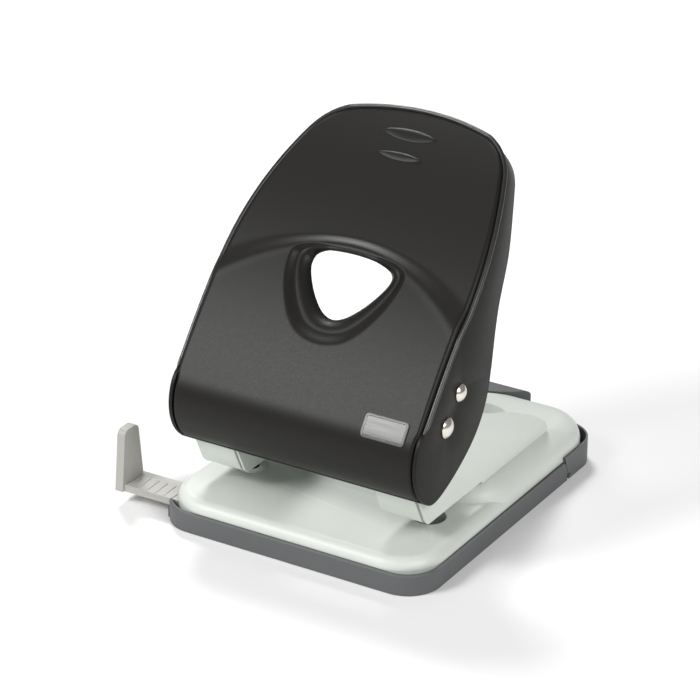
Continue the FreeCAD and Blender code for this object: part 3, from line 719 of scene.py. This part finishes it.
class PUNCH_OT_shell(bpy.types.Operator):
    """Handle's shell, its lip pressed down beside the cover"""
    bl_idname = "punch.shell"
    bl_label = "Handle shell"
    bl_options = {"REGISTER", "UNDO"}

    def execute(self, context):
        sizes = settings()
        piece = merged_copy("handle_frame", "handle_shell_folded")
        for vertex in piece.data.vertices:
            x, along, rise = on_skin(vertex.co / MM)
            if along < LIP_START:
                continue
            share = smooth(LIP_FOOT, LIP_TOP, rise)
            level = lip_level(x, along, sizes) - sizes.bead_radius / MM * 0.5
            vertex.co = skin_point(x, along, rise + min(level, 0.0) * share) * MM
        modified(piece, "BEVEL", width=0.3 * MM, segments=2, limit_method="ANGLE",
                 angle_limit=math.radians(40))
        shaded(piece)
        finish_piece(piece, "handle", finish("handle_shell"), ["handle_frame"])
        return {"FINISHED"}


def shape_ray(points, x, along, sizes):
    """Lay a line of points from the window's edge out to a place on the cover's outer edge."""
    dx, dy = x - WINDOW_MIDDLE[0], along - WINDOW_MIDDLE[1]
    angle = math.atan2(dy, dx)
    far = math.hypot(dx, dy)
    reaches = [reach(curve, angle) for curve in (WINDOW, RIDGE, RECESS)]
    near = reaches[0]
    for ring, point in enumerate(points):
        share = ring_share(ring / sizes.rings)
        distance = near + (far - near) * share
        across = WINDOW_MIDDLE[0] + math.cos(angle) * distance
        up = WINDOW_MIDDLE[1] + math.sin(angle) * distance
        level = cover_level(across, up, distance, reaches, sizes)
        level -= edge_roll((1 - share) * (far - near), along)
        point.co = skin_point(across, up, level) * MM


class PUNCH_OT_cover(bpy.types.Operator):
    """Pressed cover: arched step, recess round the window, and an edge rolled down to the seam"""
    bl_idname = "punch.cover"
    bl_label = "Handle cover"
    bl_options = {"REGISTER", "UNDO"}

    def execute(self, context):
        sizes = settings()
        outline = cover_outline()
        piece, rows = sheet_grid("handle_cover_skin", len(outline) - 1, sizes.rings)
        for index, (x, along) in enumerate(outline):
            shape_ray([row[index] for row in rows], x, along, sizes)
        cleaned(piece)
        point_outward(piece)
        modified(piece, "SOLIDIFY", thickness=COVER_SHEET * MM, offset=-1.0)
        shaded(piece, 50.0)
        finish_piece(piece, "handle", finish("handle_paint"), ["handle_cover"])
        return {"FINISHED"}


def lens_height(u, v):
    """Height of a finger mark, from 0 to 1: u runs along it and v across it, both from -1 to 1."""
    return (1 - v * v) ** 0.45 * (0.72 + 0.28 * v) * (1 - u ** 8)


class PUNCH_OT_marks(bpy.types.Operator):
    """Two lens-shaped finger marks near the tip of the handle"""
    bl_idname = "punch.marks"
    bl_label = "Finger marks"
    bl_options = {"REGISTER", "UNDO"}

    def execute(self, context):
        sizes = settings()
        rise = sizes.lens_rise / MM
        foot = step_level(0, 110.0, sizes.step_rise / MM) - FINGER_MARK_SINK
        for name, (x, along), half_long, half_wide in FINGER_MARKS:
            piece, rows = sheet_grid(name, FINGER_MARK_COLUMNS, FINGER_MARK_ROWS)
            for step, row in enumerate(rows):
                v = 2 * step / FINGER_MARK_ROWS - 1
                for index, vertex in enumerate(row):
                    u = math.sin((2 * index / FINGER_MARK_COLUMNS - 1) * math.pi / 2)
                    wide = half_wide * (1 - u * u) ** 0.8 + 0.05
                    place = skin_point(x + half_long * u, along + wide * v,
                                       foot + rise * lens_height(u, v))
                    vertex.co = place * MM
            point_outward(piece)
            modified(piece, "SOLIDIFY", thickness=FINGER_MARK_SHEET * MM, offset=-1.0)
            shaded(piece, 40.0)
            finish_piece(piece, "handle", finish("handle_paint"))
        return {"FINISHED"}


class PUNCH_OT_bead(bpy.types.Operator):
    """Rounded bead on the handle's lip, from the crease on one side round to the other"""
    bl_idname = "punch.bead"
    bl_label = "Lip bead"
    bl_options = {"REGISTER", "UNDO"}

    def execute(self, context):
        sizes = settings()
        radius = sizes.bead_radius / MM
        path = [(x, along_of(up)) for x, up in whole_outline(radius) if up > BEAD_START]
        last = len(path) - 1
        piece, rows = sheet_grid("handle_lip_bead", last, BEAD_AROUND)
        for index, (x, along) in enumerate(path):
            before = path[max(index - 1, 0)]
            after = path[min(index + 1, last)]
            run = Vector((after[0] - before[0], after[1] - before[1])).normalized()
            side = Vector((run.y, -run.x))
            from_end = min(index, last - index)
            girth = radius * math.sqrt(smooth(-0.4, 2.0, from_end))
            level = lip_level(x, along, sizes)
            for turn, row in enumerate(rows):
                angle = 2 * math.pi * turn / BEAD_AROUND
                out = math.cos(angle) * girth
                rise = level + math.sin(angle) * girth
                row[index].co = skin_point(x + side.x * out, along + side.y * out, rise) * MM
        cleaned(piece)
        close_ends(piece)
        shaded(piece, 60.0)
        finish_piece(piece, "handle", finish("lip_bead"))
        return {"FINISHED"}


class PUNCH_OT_badge(bpy.types.Operator):
    """Blank badge with rounded corners and a raised rim, bent to the handle"""
    bl_idname = "punch.badge"
    bl_label = "Badge"
    bl_options = {"REGISTER", "UNDO"}

    def execute(self, context):
        clear_selection()
        bpy.ops.mesh.primitive_cube_add(size=1.0)
        piece = taken("badge_blank")
        piece.scale = BADGE_SIZE
        baked(piece)
        bpy.ops.object.mode_set(mode="EDIT")
        select_parts(piece, "EDGE", lambda edge: abs(edge.verts[0].co.z - edge.verts[1].co.z) > 0.5)
        bpy.ops.mesh.bevel(offset=BADGE_CORNER, segments=6)
        select_parts(piece, "FACE", lambda face: face.normal.z > 0.9)
        for inset, height in BADGE_RIM:
            bpy.ops.mesh.inset(thickness=inset, depth=height)
        for step in range(-5, 6):
            bpy.ops.mesh.select_all(action="SELECT")
            bpy.ops.mesh.bisect(plane_co=(0, step * BADGE_STRIP, 0), plane_no=(0, 1, 0))
        bpy.ops.object.mode_set(mode="OBJECT")
        raised = step_level(0, 0, settings().step_rise / MM)
        for vertex in piece.data.vertices:
            x, up, rise = vertex.co
            vertex.co = skin_point(BADGE_MIDDLE[0] + x, BADGE_MIDDLE[1] + up,
                                   raised + rise - BADGE_SINK) * MM
        cleaned(piece)
        shaded(piece, 30.0)
        finish_piece(piece, "handle", finish("badge_metal"), ["badge_plate"])
        return {"FINISHED"}


# ---- the base, its heads, tray, flap, guide and springs ---------------------------------------

def off_outline(place):
    """Distance in metres of a point inside the tray's outer outline, seen from above."""
    corner = TRAY_CORNER * MM
    over = [max(abs(value) - half * MM + corner, 0.0) for value, half in zip(place, TRAY_HALF)]
    return corner - math.hypot(*over)


def rounded_rim(piece, level, width):
    """Round the tray's outer edge at one level."""
    near = 0.05 * MM
    pick(piece)
    bpy.ops.object.mode_set(mode="EDIT")
    select_parts(piece, "EDGE", lambda edge: all(abs(vertex.co.z - level * MM) < near
                                                 and abs(off_outline(vertex.co)) < near
                                                 for vertex in edge.verts))
    bpy.ops.mesh.bevel(offset=width * MM, segments=5, clamp_overlap=True)
    bpy.ops.object.mode_set(mode="OBJECT")


def cut_groove(piece, side):
    """Cut the open joint between a head's folded front and its right side plate."""
    cutter, rows = sheet_grid("joint_cutter", len(HEAD_FRONT) - 1, 1)
    for row, back in zip(rows, (GROOVE_FRONT, GROOVE_REAR)):
        for vertex, (out, up) in zip(row, HEAD_FRONT):
            vertex.co = Vector((side - GROOVE_INSET, PUNCH_LINE - out + back, DECK_TOP + up)) * MM
    modified(cutter, "SOLIDIFY", thickness=GROOVE_WIDTH * MM, offset=0.0)
    cleaned(cutter)
    modified(piece, "BOOLEAN", operation="DIFFERENCE", object=cutter, solver="EXACT")
    pick(cutter)
    bpy.ops.object.delete()


def rounded_copy(node, name, body, slot, width, groove=None):
    """A copy of a frame node with its sharp edges rounded, and in a head with the joint's groove."""
    piece = merged_copy(node, name)
    modified(piece, "DECIMATE", decimate_type="DISSOLVE", angle_limit=math.radians(0.8))
    modified(piece, "BEVEL", width=width, segments=3, limit_method="ANGLE",
             angle_limit=math.radians(32), miter_outer="MITER_ARC")
    if groove is not None:
        cut_groove(piece, groove)
    shaded(piece)
    modified(piece, "WEIGHTED_NORMAL", keep_sharp=True)
    finish_piece(piece, body, finish(slot), [node])


class PUNCH_OT_base(bpy.types.Operator):
    """Pressed base plate, its heads and the moulded tray and flap, with rounded edges"""
    bl_idname = "punch.base"
    bl_label = "Base, heads and tray"
    bl_options = {"REGISTER", "UNDO"}

    def execute(self, context):
        width = settings().edge_round
        rounded_copy("base_plate", "base_pressing", "base", "base_paint", width * 0.5)
        for side, middle in HEADS:
            rounded_copy(f"{side}_head", f"{side}_head_folded", "base", "base_paint", width * 0.9,
                         groove=middle + HEAD_HALF_WIDTH)
        piece = merged_copy("chip_tray", "tray_moulding")
        rounded_rim(piece, TRAY_TOP, TRAY_TOP_ROUND)
        rounded_rim(piece, TRAY_FOOT, TRAY_FOOT_ROUND)
        shaded(piece, 40.0)
        modified(piece, "WEIGHTED_NORMAL", keep_sharp=True)
        finish_piece(piece, "base", finish("tray_plastic"), ["chip_tray"])
        rounded_copy("chip_flap", "flap_moulding", "flap", "tray_plastic", width * 0.7)
        return {"FINISHED"}


def guide_mark(index, place, long):
    """One raised mark across the guide's bar, from its front end backwards."""
    bpy.ops.mesh.primitive_cube_add(size=1.0)
    mark = taken(f"guide_mark_{index}")
    mark.scale = (GUIDE_MARK_WIDTH * MM, long * MM, GUIDE_MARK_HEIGHT * MM)
    mark.location = (place[0], place[1] + long * MM / 2, place[2])
    baked(mark)
    modified(mark, "BEVEL", width=0.1 * MM, segments=2)
    return mark


class PUNCH_OT_guide(bpy.types.Operator):
    """Paper guide with rounded edges and marks across its bar"""
    bl_idname = "punch.guide"
    bl_label = "Paper guide"
    bl_options = {"REGISTER", "UNDO"}

    def execute(self, context):
        sizes = settings()
        rounded_copy("paper_guide", "guide_moulding", "guide", "guide_plastic", sizes.edge_round)
        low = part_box("paper_guide")[0]
        top = low.z + GUIDE_BAR * MM
        clear_selection()
        marks = []
        for index in range(GUIDE_MARKS):
            across = low.x + GUIDE_MARK_START * MM + index * sizes.tick_pitch
            long = GUIDE_MARK_SHORT if index % 5 else GUIDE_MARK_LONG
            marks.append(guide_mark(index, (across, GUIDE_MARK_FRONT * MM, top), long))
        pick(marks[0])
        for mark in marks:
            mark.select_set(True)
        bpy.ops.object.join()
        piece = taken("guide_marks")
        shaded(piece, 40.0)
        finish_piece(piece, "guide", finish("guide_plastic"))
        return {"FINISHED"}


class PUNCH_OT_springs(bpy.types.Operator):
    """Return springs, copied from the frame with the finishes their slots give"""
    bl_idname = "punch.springs"
    bl_label = "Springs"
    bl_options = {"REGISTER", "UNDO"}

    def execute(self, context):
        for side, middle in HEADS:
            node = f"{side}_spring"
            slot = slot_of(node)
            piece = merged_copy(node, f"{side}_spring_coil")
            shaded(piece, 60.0)
            finish_piece(piece, "base", finish(slot), [node])
            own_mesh(piece)
        return {"FINISHED"}


# ---- the stage, in metres ---------------------------------------------------------------------

FLOOR_SIZE = 6.0
FLOOR_LEVEL = -0.0002
LIGHTS = (("key", (-0.78, -1.1, 1.08), 0.55, 20.0),
          ("fill", (1.4, -0.6, 1.1), 0.9, 19.0),
          ("over", (-0.72, 0.76, 1.22), 0.4, 15.0))
LIGHTS_AIM = Vector((0, 0, 0.06))
ROOM_LIGHT = 0.26
CAMERA_TURN = math.radians(31.56)
CAMERA_RISE = math.radians(25.43)
CAMERA_AIM = Vector((-22.9, 13.1, 48.6)) * MM
CAMERA_DISTANCE = 1254.4 * MM
CAMERA_LENS = 164.3
CAMERA_SENSOR = 36.0
CAMERA_FAR = 20.0


def lay_floor():
    """Plain pale floor, just under the punch."""
    bpy.ops.mesh.primitive_plane_add(size=FLOOR_SIZE, location=(0, 0, FLOOR_LEVEL))
    floor = taken("floor")
    material, shader = blank_material("pale_floor")
    shader.inputs["Base Color"].default_value = (0.86, 0.86, 0.86, 1)
    shader.inputs["Roughness"].default_value = 0.7
    floor.data.materials.append(material)


def soft_light(name, place, size, power):
    """A square area light that looks at the punch."""
    bpy.ops.object.light_add(type="AREA", location=place)
    light = bpy.context.object
    light.name = name
    light.data.size = size
    light.data.energy = power
    away = Vector(place) - LIGHTS_AIM
    light.rotation_euler = away.to_track_quat("Z", "Y").to_euler()


def light_room():
    """Even white light from all round."""
    world = bpy.data.worlds.new("studio")
    world.use_nodes = True
    background = world.node_tree.nodes["Background"]
    background.inputs["Color"].default_value = (1, 1, 1, 1)
    background.inputs["Strength"].default_value = ROOM_LIGHT
    bpy.context.scene.world = world


def set_camera():
    """A long lens that looks down at the punch from its front right."""
    back = Vector((math.sin(CAMERA_TURN) * math.cos(CAMERA_RISE),
                   -math.cos(CAMERA_TURN) * math.cos(CAMERA_RISE), math.sin(CAMERA_RISE)))
    bpy.ops.object.camera_add(location=CAMERA_AIM + back * CAMERA_DISTANCE)
    camera = bpy.context.object
    camera.rotation_euler = back.to_track_quat("Z", "Y").to_euler()
    camera.data.lens = CAMERA_LENS
    camera.data.sensor_width = CAMERA_SENSOR
    camera.data.clip_end = CAMERA_FAR
    bpy.context.scene.camera = camera
    bpy.context.scene.view_settings.view_transform = "Standard"


class PUNCH_OT_stage(bpy.types.Operator):
    """Floor, soft lights and camera"""
    bl_idname = "punch.stage"
    bl_label = "Stage"
    bl_options = {"REGISTER", "UNDO"}

    def execute(self, context):
        clear_selection()
        lay_floor()
        for name, place, size, power in LIGHTS:
            soft_light(name, place, size, power)
        light_room()
        set_camera()
        return {"FINISHED"}


# ---- the panel and the run --------------------------------------------------------------------

class PUNCH_PT_panel(bpy.types.Panel):
    """Sidebar panel that lists the punch's sizes, colours and operators"""
    bl_idname = "PUNCH_PT_panel"
    bl_label = "Hole Punch"
    bl_space_type = "VIEW_3D"
    bl_region_type = "UI"
    bl_category = "Hole Punch"

    def draw(self, context):
        layout = self.layout
        for owner in (context.scene.punch_sizes, context.scene.punch_colours):
            for name in owner.__annotations__:
                layout.prop(owner, name)
        for operator in OPERATORS:
            layout.operator(operator.bl_idname)


OPERATORS = (PUNCH_OT_frame_finishes, PUNCH_OT_shell, PUNCH_OT_cover, PUNCH_OT_marks,
             PUNCH_OT_bead, PUNCH_OT_badge, PUNCH_OT_base, PUNCH_OT_guide, PUNCH_OT_springs,
             PUNCH_OT_stage)
CLASSES = (PunchSizes, PunchColours) + OPERATORS + (PUNCH_PT_panel,)


def register():
    """Add the punch's classes and settings to Blender."""
    for item in CLASSES:
        bpy.utils.register_class(item)
    bpy.types.Scene.punch_sizes = PointerProperty(type=PunchSizes)
    bpy.types.Scene.punch_colours = PointerProperty(type=PunchColours)


def unregister():
    """Take them out again."""
    del bpy.types.Scene.punch_colours
    del bpy.types.Scene.punch_sizes
    for item in reversed(CLASSES):
        bpy.utils.unregister_class(item)


def main():
    """Build the whole punch."""
    register()
    bpy.ops.punch.frame_finishes()
    bpy.ops.punch.shell()
    bpy.ops.punch.cover()
    bpy.ops.punch.marks()
    bpy.ops.punch.bead()
    bpy.ops.punch.badge()
    bpy.ops.punch.base()
    bpy.ops.punch.guide()
    bpy.ops.punch.springs()
    bpy.ops.punch.stage()


if __name__ == "__main__":
    main()
